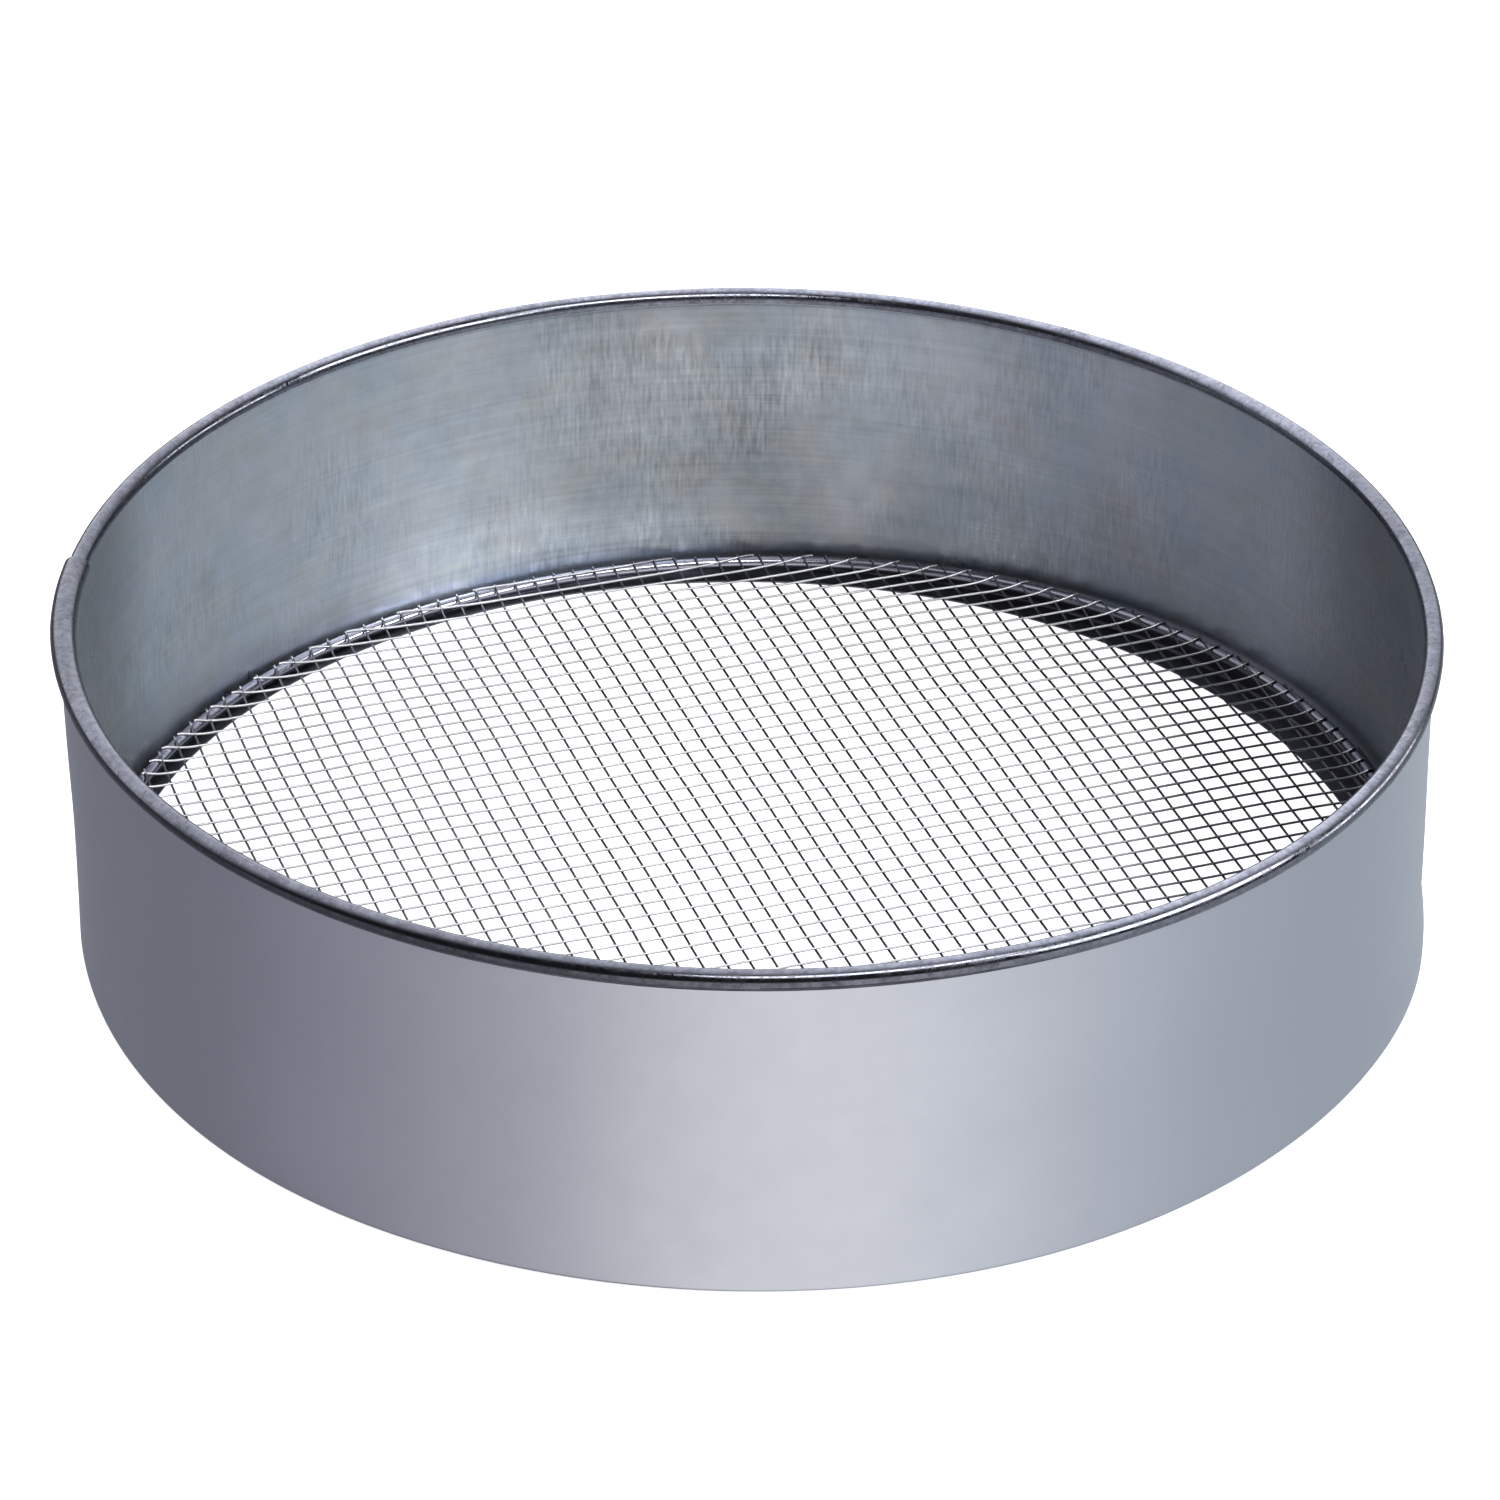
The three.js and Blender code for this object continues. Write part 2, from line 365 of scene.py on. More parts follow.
def wire_material(name, seam_side, middle, far_side, roughness, near_ring=None):
    """Mesh wire with painted light and shade: three colours along X, from the seam's side across, and another
    near the ring.
    """
    material = bpy.data.materials.new(name)
    material.use_nodes = True
    n = Nodes(material.node_tree)
    position = n.node("ShaderNodeTexCoord").outputs["Object"]
    apart = n.node("ShaderNodeSeparateXYZ")
    n.link(position, apart.inputs[0])
    wander = n.swing(n.noise(position, per_metre(40), detail=3), WIRE_WANDER * MM)
    along = n.math("ADD", apart.outputs["X"], wander)
    # Painted light and shade along X: one colour at the seam's side, one in the middle and one at the far
    # side.
    bright = n.remap(along, SEAM_SIDE_FADE[0] * MM, SEAM_SIDE_FADE[1] * MM, 0.0, 1.0, smooth=True)
    toward_far_side = n.remap(along, FAR_SIDE_FADE[0] * MM, FAR_SIDE_FADE[1] * MM, 0.0, 1.0, smooth=True)
    blotch = n.remap(n.noise(position, per_metre(12), detail=3), 0.3, 0.7, 0.75, 1.0)
    paint = n.mix(bright, (*seam_side, 1), (*middle, 1))
    paint = n.mix(toward_far_side, paint, (*far_side, 1))
    # Painted light near the ring, fading towards the far side.
    if near_ring:
        distance = n.node("ShaderNodeVectorMath", operation="LENGTH")
        n.link(n.scaled(position, (1, 1, 0)), distance.inputs[0])
        start, end = (radius * MM for radius in NEAR_RING_RADII)
        near_ring_share = n.remap(distance.outputs["Value"], start, end, 0.0, 1.0, smooth=True)
        near_ring_share = n.math("MULTIPLY", near_ring_share, n.math("MULTIPLY_ADD", toward_far_side, -0.65, 1.0))
        paint = n.mix(near_ring_share, paint, (*near_ring, 1))
    paint = n.mix(1.0, paint, blotch, "MULTIPLY")
    surface = n.node("ShaderNodeBsdfPrincipled")
    n.link(paint, surface.inputs["Base Color"])
    surface.inputs["Metallic"].default_value = 1.0
    surface.inputs["Roughness"].default_value = roughness
    n.link(surface.outputs["BSDF"], n.node("ShaderNodeOutputMaterial").inputs["Surface"])
    return material


sheet_outside = zinc_material(
    "zinc_sheet_outside", (0.62, 0.64, 0.70), (0.54, 0.56, 0.62), 0.31, cloud=0.45, spangle=0.04, streak=0.10)
# Painted shade darkens the inner wall's back, right and left sides and low at the back-right; painted light
# lifts its foot at the back.
sheet_inside = zinc_material(
    "zinc_sheet_inside", (0.75, 0.80, 0.86), (0.49, 0.53, 0.575), 0.40,
    cloud=1.1, spangle=0.12, streak=0.8, ticks=1.6, tint=0.4, bump=0.15,
    painted_side_shades=(
        (98, 171, None, -0.32),
        (6, 159, None, -0.58),
        (176, 171, None, -0.50),
        (110, 168, 34, 0.42),
        (70, 140, 75, -0.30),
    ))
# Near-black zinc that paints the shade below the ring, in the neck and under the roll.
painted_shade_sheet = zinc_material(
    "painted_shade_zinc", (0.12, 0.12, 0.14), (0.05, 0.05, 0.06), 0.45, cloud=1.5, spangle=0.1)
# Burnished roll, with painted shade on its front-left, right and left sides.
sheet_rolled = zinc_material(
    "burnished_roll_painted_side_shade", (0.30, 0.31, 0.36), (0.14, 0.145, 0.175), 0.20,
    cloud=1.3, spangle=0.5, streak=0.3, tint=0.2, bump=0.12, spread=0.2,
    painted_side_shades=((-128, 60, None, -0.5), (0, 140, None, -0.5), (170, 150, None, -0.5)))
sheet_edge = zinc_material("cut_steel_edge", (0.50, 0.52, 0.55), (0.36, 0.37, 0.40), 0.40, cloud=0.8)
# Burnished ring wire, with painted shade on its right side and a painted highlight on its back-left.
ring_zinc = zinc_material(
    "burnished_ring_wire_painted_side_light_and_shade", (0.42, 0.42, 0.48), (0.24, 0.24, 0.29), 0.20, cloud=0.7, bump=0.03, spread=0.6,
    painted_side_shades=((15, 90, None, -0.6), (120, 125, None, 0.9)))
# One zinc wire in both layers: the lower layer is painted near black as shade, and each has painted light and
# shade along X and near the ring.
upper_wire_zinc = wire_material(
    "bright_mesh_wire", (0.48, 0.48, 0.49), (0.60, 0.595, 0.60), (0.09, 0.09, 0.10), 0.30,
    near_ring=(0.75, 0.75, 0.77))
lower_wire_zinc = wire_material(
    "lower_mesh_wire_painted_shade", (0.15, 0.15, 0.16), (0.022, 0.022, 0.025), (0.03, 0.03, 0.035), 0.40,
    near_ring=(0.20, 0.20, 0.22))
# Bent ends: painted light at the seam's side, darker in the middle, painted shade at the far side.
bent_end_zinc = wire_material(
    "bent_wire_ends", (0.80, 0.80, 0.82), (0.30, 0.30, 0.34), (0.10, 0.10, 0.12), 0.30)
bare_wire = zinc_material("drawn_rim_wire", (0.46, 0.47, 0.50), (0.32, 0.33, 0.35), 0.42, cloud=1.0)


# ---------------------------------------------------------------- hoop

# Points along the sheet's centre line.
FLANGE_STEPS = 4
FOOT_POINTS = 9
WALL_STEPS = 44
NECK_POINTS = 7
ROLL_POINTS = 40

# Columns of faces with another finish: the roll's end, and painted shade in the neck and under the roll's
# front.
ROLL_END_COLUMNS = 8
NECK_COLUMNS = NECK_POINTS - 1
UNDER_ROLL_COLUMNS = 6
UNDER_ROLL_ANGLE = -82
UNDER_ROLL_WIDTH = 16
# How far below the ring the inner wall starts to take the painted shade.
SHADE_BELOW_RING = 1.0
SHARP_ANGLE = 45

# Rows of the hoop, in degrees: close together at the lap and for a margin past it, and wider apart elsewhere.
LAP_ROW_STEP = 0.1
ROW_STEP = 0.5
ROW_MARGIN = 1

NECK_CENTRE_RADIUS = WALL_LINE_RADIUS + NECK_BEND_RADIUS
NECK_TO_ROLL = ROLL_LINE_RADIUS + NECK_BEND_RADIUS
NECK_DROP = math.sqrt(NECK_TO_ROLL ** 2 - (NECK_CENTRE_RADIUS - ROLL_CENTRE_RADIUS) ** 2)
NECK_CENTRE_HEIGHT = ROLL_CENTRE_HEIGHT - NECK_DROP
NECK_TURN = math.degrees(math.atan2(NECK_DROP, ROLL_CENTRE_RADIUS - NECK_CENTRE_RADIUS))


def tray_height_at(x, y):
    """Height of the plane through the ring's centre line, over a point."""
    slope = (TRAY_NORMAL[0] * (x - TRAY_CENTRE[0]) + TRAY_NORMAL[1] * (y - TRAY_CENTRE[1])) / TRAY_NORMAL[2]
    return TRAY_CENTRE[2] - slope


def bulges(turn, places):
    """The sum of smooth bulges round the hoop, each at an azimuth, with a width in degrees and a size."""
    push = np.zeros(len(turn))
    for azimuth, width, size in places:
        push += size * np.exp((np.cos(turn - math.radians(azimuth)) - 1) / math.radians(width) ** 2)
    return push


def settled(points):
    """The hoop's slight lean along X with height, and the places where rim and foot are out of round."""
    shift = LEAN_AT_FOOT + LEAN_PER_HEIGHT * points[:, 2]
    turn = np.arctan2(points[:, 1], points[:, 0])
    push = bulges(turn, RIM_OUT_OF_ROUND) * smooth_step(points[:, 2], *RIM_BULGE_HEIGHTS)
    push += bulges(turn, FOOT_OUT_OF_ROUND) * (1 - smooth_step(points[:, 2], *FOOT_BULGE_HEIGHTS))
    return points + np.column_stack([shift + push * np.cos(turn), push * np.sin(turn), np.zeros(len(points))])


def sheet_line(angle, outward, lift):
    """Centre line of the sheet in the radius-height plane, from the flange's edge to the end of the roll."""
    wall = WALL_LINE_RADIUS + outward
    flange_height = SHEET_THICKNESS / 2 + lift
    foot_swell = FOOT_SWELL + FOOT_SWELL_SWING * math.cos(angle)
    foot_centre = (wall + foot_swell - FOOT_BEND_RADIUS, flange_height + FOOT_BEND_RADIUS)
    flange_radii = np.linspace(FLANGE_INNER_RADIUS, foot_centre[0], FLANGE_STEPS + 1)[:-1]
    flange = np.stack([flange_radii, np.full(FLANGE_STEPS, flange_height)], 1)
    foot = arc(foot_centre, FOOT_BEND_RADIUS, -90, 0, FOOT_POINTS)
    shortness = math.exp(SHORT_SWELL_FOCUS * (math.cos(angle - math.radians(SHORT_SWELL_ANGLE)) - 1))
    swell_top = SWELL_TOP_LONG + (SWELL_TOP_SHORT - SWELL_TOP_LONG) * shortness
    heights = np.linspace(foot_centre[1], NECK_CENTRE_HEIGHT, WALL_STEPS + 1)[1:-1]
    swell = foot_swell * (1 - smooth_step(heights, SWELL_BOTTOM, swell_top))
    wall_line = np.stack([wall + swell, heights], 1)
    neck_centre = (NECK_CENTRE_RADIUS, NECK_CENTRE_HEIGHT)
    neck = arc(neck_centre, NECK_BEND_RADIUS - outward, 180, NECK_TURN, NECK_POINTS)
    roll_centre = (ROLL_CENTRE_RADIUS, ROLL_CENTRE_HEIGHT)
    roll_radius = ROLL_LINE_RADIUS + outward * ROLL_LAP_SHARE
    roll = arc(roll_centre, roll_radius, NECK_TURN - 180, ROLL_END_ANGLE, ROLL_POINTS)[1:]
    return np.concatenate([flange, foot, wall_line, neck, roll])


def thicken(line, thickness):
    """The outer side and the inner side of a strip along a line, as two rows of points."""
    along = np.gradient(line, axis=0)
    along /= np.linalg.norm(along, axis=1, keepdims=True)
    across = np.stack([along[:, 1], -along[:, 0]], 1) * thickness / 2
    return line + across, line - across


def make_hoop():
    """The sheet as one strip round the hoop, from its inner end to the outer end that laps over it."""
    lap_end = LAP_WIDTH_ANGLE + ROW_MARGIN
    lap_start = 360 - ROW_MARGIN
    first = np.arange(0, lap_end, LAP_ROW_STEP)
    middle = np.arange(lap_end, lap_start, ROW_STEP)
    last = np.arange(lap_start, 360 + LAP_WIDTH_ANGLE + LAP_ROW_STEP / 2, LAP_ROW_STEP)
    travelled = np.concatenate([first, middle, last])
    angles = np.radians(LAP_EDGE_ANGLE + LAP_WIDTH_ANGLE - travelled)
    outward = LAP_STEP * smooth_step(travelled, 360 - LAP_OUTER_RAMP_ANGLE, 360)
    lift = LAP_STEP * (1 - smooth_step(travelled, LAP_WIDTH_ANGLE, LAP_WIDTH_ANGLE + LAP_RAMP_ANGLE))
    outer_rows, inner_rows = [], []
    for angle, out, up in zip(angles, outward, lift):
        outer, inner = thicken(sheet_line(angle, out, up), SHEET_THICKNESS)
        outer_rows.append(outer)
        inner_rows.append(inner[::-1])
    outline = np.concatenate([np.array(outer_rows), np.array(inner_rows)], 1)
    rows, columns = outline.shape[:2]
    side = columns // 2
    radius, height = outline[..., 0].copy(), outline[..., 1].copy()
    turn = np.repeat(angles[:, None], columns, 1)

    lap_middle = math.radians(LAP_EDGE_ANGLE + LAP_WIDTH_ANGLE / 2)
    across = (np.mod(turn - lap_middle + math.pi, 2 * math.pi) - math.pi) * WALL_LINE_RADIUS
    first_rows = travelled < lap_end
    last_rows = travelled > lap_start
    for weld_height in SPOT_WELD_HEIGHTS:
        away = np.hypot(across, height - weld_height)
        dimple = SPOT_WELD_DEPTH * (1 - smooth_step(away, SPOT_WELD_FLAT, SPOT_WELD_RADIUS))
        radius[last_rows, :side] -= dimple[last_rows, :side]
        radius[first_rows, side:] += dimple[first_rows, side:]

    round_wall = [WALL_LINE_RADIUS * np.cos(turn), WALL_LINE_RADIUS * np.sin(turn), height]
    points = np.stack(round_wall, -1).reshape(-1, 3)
    free_wall = smooth_step(height, *RIPPLE_HEIGHTS).ravel()
    ripple = DENT_SIZE * wave_field(points, 11, DENT_LENGTH)
    ripple += RIPPLE_SIZE * wave_field(points, 12, RIPPLE_LENGTH)
    radius += (ripple * free_wall).reshape(rows, columns)

    vertices = np.stack([radius * np.cos(turn), radius * np.sin(turn), height], -1).reshape(-1, 3)
    walls = grid_faces(rows, columns, close_columns=True)[:, ::-1]
    column = np.arange(side - 1)
    start_cap = np.stack([column, column + 1, columns - 2 - column, columns - 1 - column], 1)
    end_cap = start_cap[:, ::-1] + (rows - 1) * columns
    faces = np.concatenate([walls, start_cap, end_cap])

    finishes = [sheet_outside, sheet_inside, sheet_rolled, sheet_edge, painted_shade_sheet]
    outside, inside, rolled, cut_edge, painted_shade = range(len(finishes))
    roll_from = side - ROLL_POINTS
    slots = np.full((rows - 1, columns), outside)
    slots[:, side:] = inside
    # Painted shade: near-black zinc on the inner wall below the ring and on the neck.
    ring_height = tray_height_at(RING_RADIUS * np.cos(turn), RING_RADIUS * np.sin(turn))
    below_ring = height < ring_height - SHADE_BELOW_RING
    slots[:, side:][below_ring[:-1, side:]] = painted_shade
    slots[:, roll_from - NECK_COLUMNS:roll_from] = painted_shade
    slots[:, roll_from:side] = rolled
    slots[:, side - ROLL_END_COLUMNS:side] = inside
    # Painted shade under the roll where it faces the front.
    under_front = bulges(angles[:-1], [(UNDER_ROLL_ANGLE, UNDER_ROLL_WIDTH, 1)])
    for column in range(UNDER_ROLL_COLUMNS):
        slots[under_front > (column + 0.5) / UNDER_ROLL_COLUMNS, roll_from + column] = painted_shade
    slots[:, side - 1] = cut_edge
    slots[:, columns - 1] = cut_edge
    face_slots = np.concatenate([slots.ravel(), np.full(len(start_cap) * 2, cut_edge)])
    hoop = mesh_object("hoop_sheet", settled(vertices), faces, finishes, face_slots)
    hoop.data.set_sharp_from_angle(angle=math.radians(SHARP_ANGLE))
    return hoop


hoop = make_hoop()
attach(hoop, "root")
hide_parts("hoop")


# ---------------------------------------------------------------- wires

def tube(path, radius, sides, closed=False, spin=None):
    """Vertices and faces of a round tube along a path, which closes on itself or is open at its ends."""
    path = np.asarray(path, float)
    along = np.roll(path, -1, 0) - np.roll(path, 1, 0) if closed else np.gradient(path, axis=0)
    along /= np.linalg.norm(along, axis=1, keepdims=True)
    flat = np.cross(along, np.array([0, 0, 1.0]) if spin is None else spin)
    flat /= np.linalg.norm(flat, axis=1, keepdims=True)
    other = np.cross(flat, along)
    turn = np.linspace(0, 2 * math.pi, sides, endpoint=False)
    ring = np.cos(turn)[None, :, None] * flat[:, None, :] + np.sin(turn)[None, :, None] * other[:, None, :]
    vertices = (path[:, None, :] + radius * ring).reshape(-1, 3)
    return vertices, grid_faces(len(path), sides, close_rows=closed, close_columns=True)


def round_ring(name, radius, wire_radius, segments, sides, material, place):
    """A closed ring of round wire, made flat and level and then put in its place."""
    turn = np.linspace(0, 2 * math.pi, segments, endpoint=False)
    path = np.stack([radius * np.cos(turn), radius * np.sin(turn), np.zeros(segments)], 1)
    vertices, faces = tube(path, wire_radius, sides, closed=True)
    return mesh_object(name, place(vertices), faces, [material])


def lift_to_roll(points):
    """Up to the roll's centre, with the hoop's own lean and bulges."""
    return settled(points + [0, 0, ROLL_CENTRE_HEIGHT])


TRAY_UP = TRAY_NORMAL / np.linalg.norm(TRAY_NORMAL)
TRAY_TURN = np.array(Vector((0, 0, 1)).rotation_difference(Vector(TRAY_UP)).to_matrix())


def place_on_tray(points):
    """From flat tray coordinates, with height above the ring's centre plane, to the part's frame."""
    return points @ TRAY_TURN.T + [TRAY_SHIFT, 0, TRAY_CENTRE[2]]


rim_wire = round_ring("rim_wire_round", ROLL_CENTRE_RADIUS, RIM_WIRE_RADIUS, 360, 12, bare_wire, lift_to_roll)
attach(rim_wire, "root")
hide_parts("rim_wire")

mesh_ring = round_ring("mesh_ring_wire", RING_RADIUS, RING_WIRE_RADIUS, 540, 20, ring_zinc, place_on_tray)
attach(mesh_ring, "root")
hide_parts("mesh_ring")

# ---------------------------------------------------------------- welded mesh

OVER_RING = RING_WIRE_RADIUS + MESH_WIRE_RADIUS
UPPER_HEIGHT = OVER_RING - MESH_DROP
LOWER_HEIGHT = UPPER_HEIGHT - 2 * MESH_WIRE_RADIUS + WELD_SET_DOWN
CLIMB_POINTS = 9
WRAP_POINTS = 14
MESH_WIRE_SIDES = 8


def climb_profile(height, wrap_angle, tail):
    """Radius and height of a wire from the flat of the mesh, up over the ring and down its outside."""
    touch = math.radians(TOUCH_ANGLE)
    start = np.array([RING_RADIUS - CLIMB_WIDTH, height])
    end = np.array([RING_RADIUS - OVER_RING * math.sin(touch), OVER_RING * math.cos(touch)])
    width = end[0] - start[0]
    t = np.linspace(0, 1, CLIMB_POINTS)
    rise = (end[1] - start[1]) * (3 * t ** 2 - 2 * t ** 3) + width * math.tan(touch) * (t ** 3 - t ** 2)
    climb = np.stack([start[0] + width * t, start[1] + rise], 1)
    wrap = arc((RING_RADIUS, 0), OVER_RING, 90 + TOUCH_ANGLE, 90 - wrap_angle, WRAP_POINTS)[1:]
    last = wrap[-1] - wrap[-2]
    last /= np.linalg.norm(last)
    drop = wrap[-1] + np.outer([0.5 * tail, tail], last)
    return np.concatenate([climb, wrap, drop])


def mesh_drift(points):
    """Sideways and upwards wander of the mesh, fading out at the ring."""
    flat = points[:, :2]
    fade_start, fade_end = (RING_RADIUS - width for width in WANDER_FADES)
    inside = 1 - smooth_step(np.linalg.norm(flat, axis=1), fade_start, fade_end)
    sideways = np.stack([wave_field(flat, 21, SWAY_LENGTH), wave_field(flat, 22, SWAY_LENGTH)], 1) * SWAY_SIZE
    jitter = np.stack([wave_field(flat, 23, JITTER_LENGTH), wave_field(flat, 24, JITTER_LENGTH)], 1)
    sideways += jitter * JITTER_SIZE
    upwards = wave_field(flat, 25, HEAVE_LENGTH) * HEAVE_SIZE
    return np.column_stack([sideways * inside[:, None], upwards * inside])


def wire_path(offset, height, along, across, rng):
    """One wire of the mesh in tray coordinates, end to end."""
    halves = []
    for direction in (-1, 1):
        profile = climb_profile(height, rng.uniform(*WRAP_ANGLES), rng.uniform(*TAIL_LENGTHS))
        flat_end = RING_RADIUS - CLIMB_WIDTH
        inner = max(flat_end ** 2 - offset ** 2, 0) ** 0.5
        profile = profile[profile[:, 0] > abs(offset) + CHORD_MARGIN]
        reach = np.sqrt(np.maximum(profile[:, 0] ** 2 - offset ** 2, 0))
        flat_count = max(int(inner / FLAT_STEP), 2)
        flat_reach = np.linspace(0, inner, flat_count, endpoint=False) if inner > 0 else np.zeros(0)
        reach = np.concatenate([flat_reach, reach])
        levels = np.concatenate([np.full(len(flat_reach), height), profile[:, 1]])
        halves.append((direction * reach, levels))
    (left, left_levels), (right, right_levels) = halves
    reach = np.concatenate([left[::-1], right[1:]])
    levels = np.concatenate([left_levels[::-1], right_levels[1:]])
    points = reach[:, None] * np.append(along, 0) + offset * np.append(across, 0)
    points[:, 2] = levels
    return points + mesh_drift(points)


def wire_layer(name, height, normal_angle, pitch, shift, finish, seed):
    """All the wires of one layer, side by side along the direction of their normals."""
    rng = np.random.default_rng(seed)
    turn = math.radians(normal_angle)
    across = np.array([math.cos(turn), math.sin(turn)])
    along = np.array([-math.sin(turn), math.cos(turn)])
    vertices, faces, slots, count = [], [], [], 0
    for number in range(-LAST_WIRE, LAST_WIRE + 1):
        path = wire_path(number * pitch + shift, height, along, across, rng)
        tube_vertices, tube_faces = tube(path, MESH_WIRE_RADIUS, MESH_WIRE_SIDES, spin=np.append(across, 0))
        past_crown = np.linalg.norm(path[:-1, :2], axis=1) > RING_RADIUS - BENT_END_WIDTH
        vertices.append(tube_vertices)
        faces.append(tube_faces + count)
        slots.append(np.repeat(past_crown, MESH_WIRE_SIDES))
        count += len(tube_vertices)
    finishes = [finish, bent_end_zinc]
    placed = place_on_tray(np.concatenate(vertices))
    return mesh_object(name, placed, np.concatenate(faces), finishes, np.concatenate(slots))


lower_wires = wire_layer("mesh_lower_wires", LOWER_HEIGHT, LOWER_NORMAL_ANGLE, LOWER_WIRE_PITCH, LOWER_SHIFT,
                         lower_wire_zinc, 31)
upper_wires = wire_layer("mesh_upper_wires", UPPER_HEIGHT, UPPER_NORMAL_ANGLE, UPPER_WIRE_PITCH, UPPER_SHIFT,
                         upper_wire_zinc, 32)
for layer in (lower_wires, upper_wires):
    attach(layer, "root")
    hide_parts("wire_mesh")


# ---------------------------------------------------------------- floor, light and camera

FLOOR_HALF = 2500
FLOOR_COLOUR = (0.85, 0.85, 0.85, 1)
FLOOR_GLOW = 0.7
# A painted shadow at the foot, seen only in reflections.
FOOT_SHADE_COLOUR = (0.01, 0.01, 0.01, 1)
FOOT_SHADE_INNER = 166
FOOT_SHADE_OUTER = 178
FOOT_SHADE_END = 183


def make_floor():
    """A pale floor that lets reflections through to the light below, but for a dark band at the foot: a
    painted shadow that only reflections see.
    """
    vertices = np.array([[-1, -1, 0], [1, -1, 0], [1, 1, 0], [-1, 1, 0]], float) * FLOOR_HALF
    material = bpy.data.materials.new("pale_floor")
    material.use_nodes = True
    n = Nodes(material.node_tree)
    matt = n.node("ShaderNodeBsdfDiffuse")
    matt.inputs["Color"].default_value = FLOOR_COLOUR
    glow = n.node("ShaderNodeEmission")
    glow.inputs["Strength"].default_value = FLOOR_GLOW
    seen = n.node("ShaderNodeAddShader")
    n.link(matt.outputs[0], seen.inputs[0])
    n.link(glow.outputs[0], seen.inputs[1])
    position = n.node("ShaderNodeTexCoord").outputs["Object"]
    distance = n.node("ShaderNodeVectorMath", operation="LENGTH")
    n.link(position, distance.inputs[0])
    distance = distance.outputs["Value"]
    inner = n.remap(distance, FOOT_SHADE_INNER * MM, FOOT_SHADE_OUTER * MM, 0.0, 1.0, smooth=True)
    outside = n.math("GREATER_THAN", distance, FOOT_SHADE_END * MM)
    shade = n.math("SUBTRACT", inner, outside, clamp=True)
    dark = n.node("ShaderNodeBsdfDiffuse")
    dark.inputs["Color"].default_value = FOOT_SHADE_COLOUR
    reflected = n.node("ShaderNodeMixShader")
    n.link(shade, reflected.inputs[0])
    n.link(n.node("ShaderNodeBsdfTransparent").outputs[0], reflected.inputs[1])
    n.link(dark.outputs[0], reflected.inputs[2])
    both = n.node("ShaderNodeMixShader")
    n.link(n.node("ShaderNodeLightPath").outputs["Is Glossy Ray"], both.inputs[0])
    n.link(seen.outputs[0], both.inputs[1])
    n.link(reflected.outputs[0], both.inputs[2])
    n.link(both.outputs[0], n.node("ShaderNodeOutputMaterial").inputs["Surface"])
    return mesh_object("floor", vertices, np.array([[0, 1, 2, 3]]), [material])


make_floor()

SOFTBOX_DISTANCE = 1600


def soft_light(name, azimuth, elevation, width, height, power):
    """A softbox of a width and a height, aimed at the part's origin."""
    data = bpy.data.lights.new(name, "AREA")
    data.shape = "RECTANGLE"
    data.size = width * MM
    data.size_y = height * MM
    data.energy = power
    light = bpy.data.objects.new(name, data)
    bpy.context.scene.collection.objects.link(light)
    light.location = Vector(direction_of(azimuth, elevation) * (SOFTBOX_DISTANCE * MM))
    light.rotation_euler = (-light.location).to_track_quat("-Z", "Y").to_euler()


soft_light("front_softbox", -70, 56, 940, 420, 10)
soft_light("front_right_softbox", -24, 33, 1200, 600, 14)
soft_light("right_softbox", 16, 9, 800, 360, 4.5)

# Light from below the horizon, as a pale floor throws it back, by azimuth, level and tint.
LOW_LIGHT = (
    (-180, 0.22, (0.97, 0.98, 1.15)),
    (-148, 0.35, (0.98, 0.98, 1.10)),
    (-119, 0.58, (0.99, 0.98, 1.03)),
    (-98, 0.97, (1.00, 0.99, 0.98)),
    (-76, 1.06, (1.00, 0.99, 0.98)),
    (-54, 0.92, (0.98, 0.99, 1.00)),
    (-32, 0.73, (0.94, 0.98, 1.02)),
    (-6, 0.55, (0.91, 0.98, 1.05)),
    (28, 0.46, (0.88, 0.98, 1.06)),
    (62, 0.50, (0.88, 0.98, 1.06)),
    (90, 0.32, (0.93, 0.98, 1.10)),
    (115, 0.17, (0.96, 0.98, 1.15)),
    (160, 0.18, (0.97, 0.98, 1.17)),
)
BELOW_FADE = (0.02, -0.22)
BACK_GLOW_DIRECTION = (110, 30)
BACK_GLOW_LEVEL = 2.3
BACK_GLOW_TINT = (0.97, 0.98, 1.05, 1)
BASE_LIGHT = (0.05, 0.05, 0.055, 1)


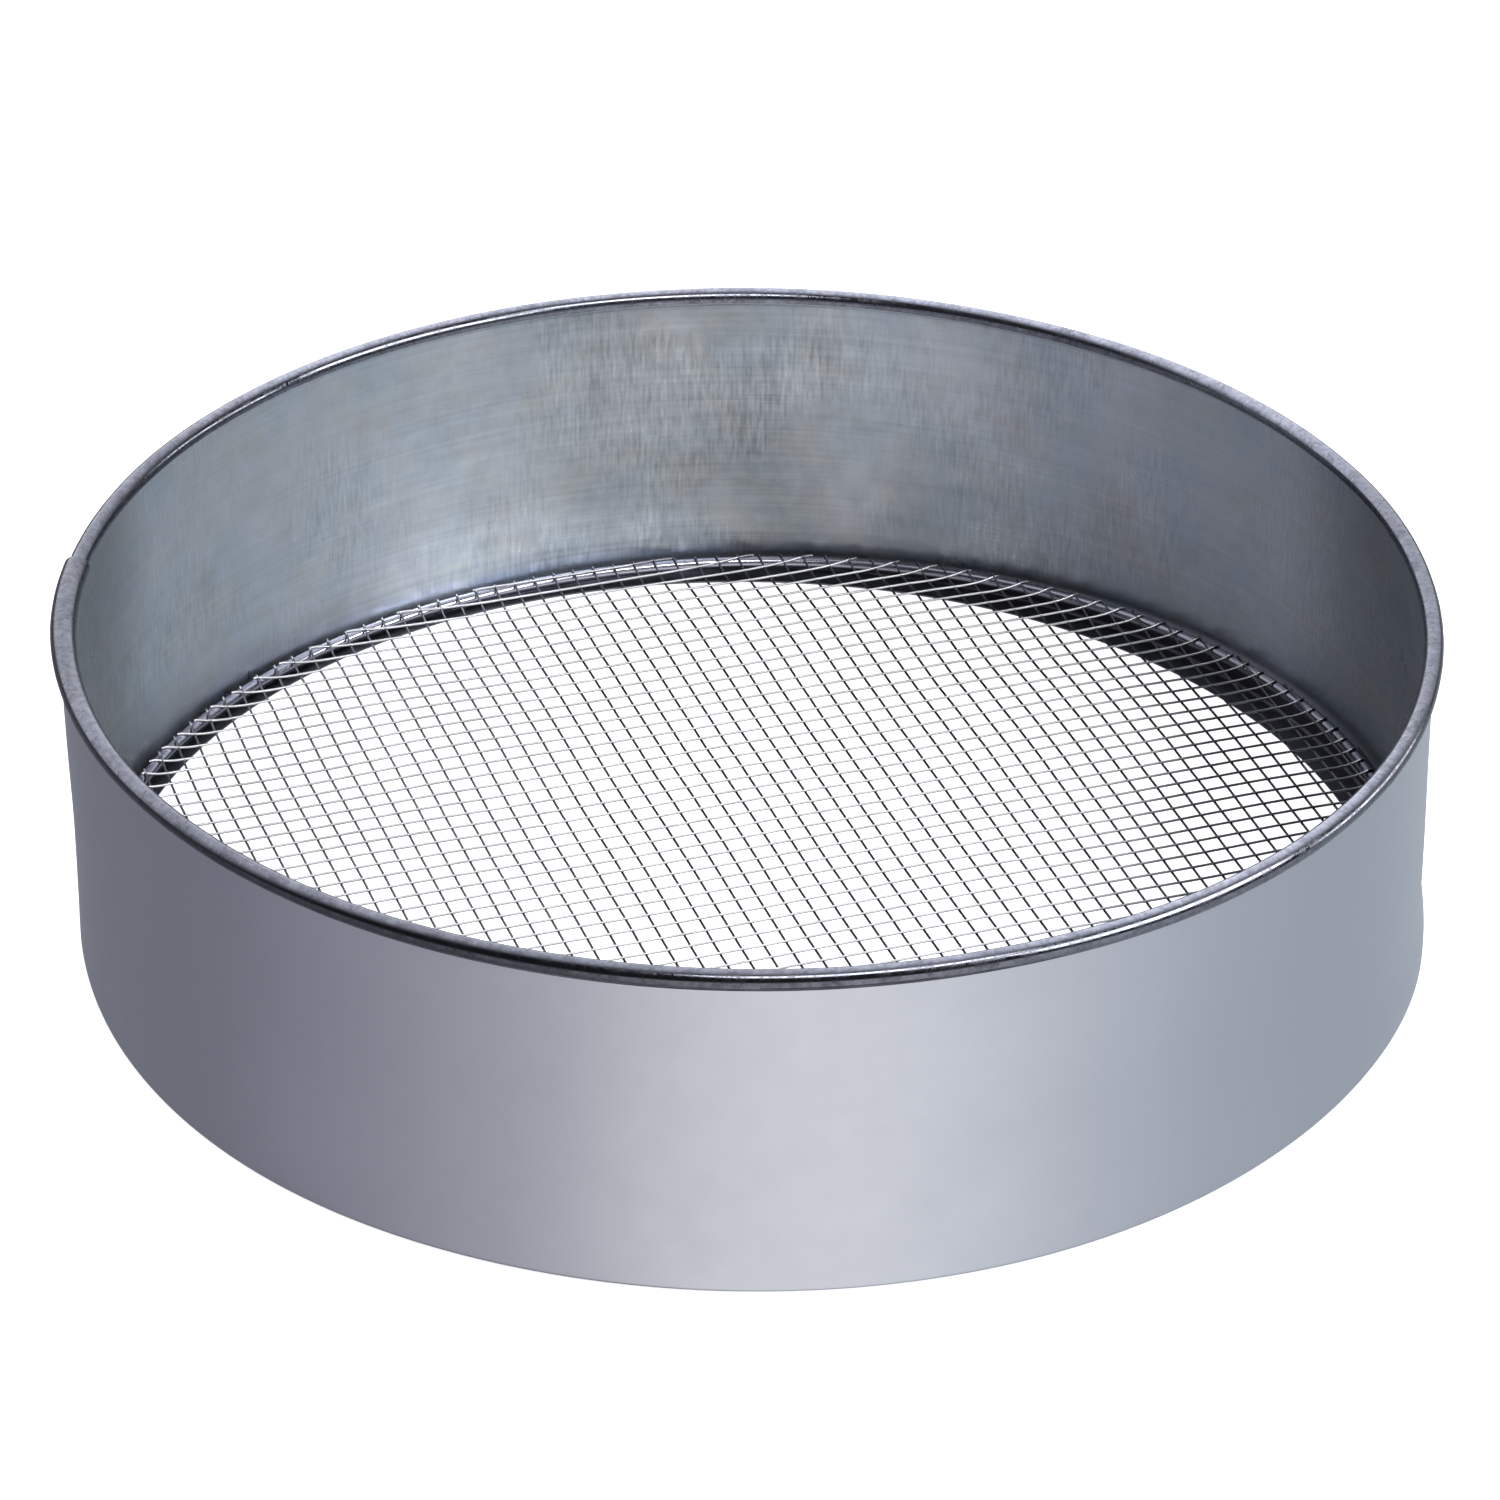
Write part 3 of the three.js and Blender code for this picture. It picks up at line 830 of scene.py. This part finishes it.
def make_world():
    """The studio: the light from below the horizon, a broad glow at the back above it, and a faint base."""
    world = bpy.data.worlds.new("studio")
    bpy.context.scene.world = world
    world.use_nodes = True
    n = Nodes(world.node_tree)
    direction = n.node("ShaderNodeTexCoord").outputs["Generated"]
    separate = n.node("ShaderNodeSeparateXYZ")
    n.link(direction, separate.inputs[0])

    azimuth = n.math("ARCTAN2", separate.outputs["Y"], separate.outputs["X"])
    ramp = n.node("ShaderNodeValToRGB")
    n.link(n.remap(azimuth, -math.pi, math.pi, 0.0, 1.0), ramp.inputs["Fac"])
    stops = ramp.color_ramp.elements
    for number, (angle, level, tint) in enumerate(LOW_LIGHT):
        stop = stops[number] if number < 2 else stops.new(1.0)
        stop.position = (angle + 180) / 360
        stop.color = tuple(level * part for part in tint) + (1,)
    below = n.remap(separate.outputs["Z"], *BELOW_FADE, 0.0, 1.0, smooth=True)

    back = n.node("ShaderNodeVectorMath", operation="DOT_PRODUCT")
    n.link(direction, back.inputs[0])
    back.inputs[1].default_value = direction_of(*BACK_GLOW_DIRECTION)
    glow = n.remap(back.outputs["Value"], 0.1, 1.0, 0.0, BACK_GLOW_LEVEL, smooth=True)
    above = n.remap(separate.outputs["Z"], -0.05, 0.15, 0.0, 1.0, smooth=True)
    glow = n.math("MULTIPLY", glow, above)

    total = n.mix(below, (0, 0, 0, 1), ramp.outputs["Color"])
    total = n.mix(1.0, total, BASE_LIGHT, "ADD")
    glow = n.mix(1.0, glow, BACK_GLOW_TINT, "MULTIPLY")
    total = n.mix(1.0, total, glow, "ADD")
    background = n.node("ShaderNodeBackground")
    n.link(total, background.inputs["Color"])
    n.link(background.outputs[0], n.node("ShaderNodeOutputWorld").inputs["Surface"])


make_world()

# The camera's angles are in degrees.
CAMERA_PLACE = (0, -1321.3, 845.7)
CAMERA_PITCH = 31.170
CAMERA_TURN = -0.008
CAMERA_ROLL = 0.564
CAMERA_LENS = 136.45


def make_camera():
    data = bpy.data.cameras.new("camera")
    data.lens = CAMERA_LENS
    data.sensor_width = 36
    camera = bpy.data.objects.new("camera", data)
    bpy.context.scene.collection.objects.link(camera)
    turn = Matrix.Rotation(math.radians(CAMERA_TURN), 4, "Z")
    tilt = Matrix.Rotation(math.radians(90 - CAMERA_PITCH), 4, "X")
    roll = Matrix.Rotation(math.radians(CAMERA_ROLL), 4, "Z")
    camera.matrix_world = Matrix.Translation(Vector(CAMERA_PLACE) * MM) @ turn @ tilt @ roll
    bpy.context.scene.camera = camera


make_camera()
bpy.context.scene.view_settings.view_transform = "Standard"
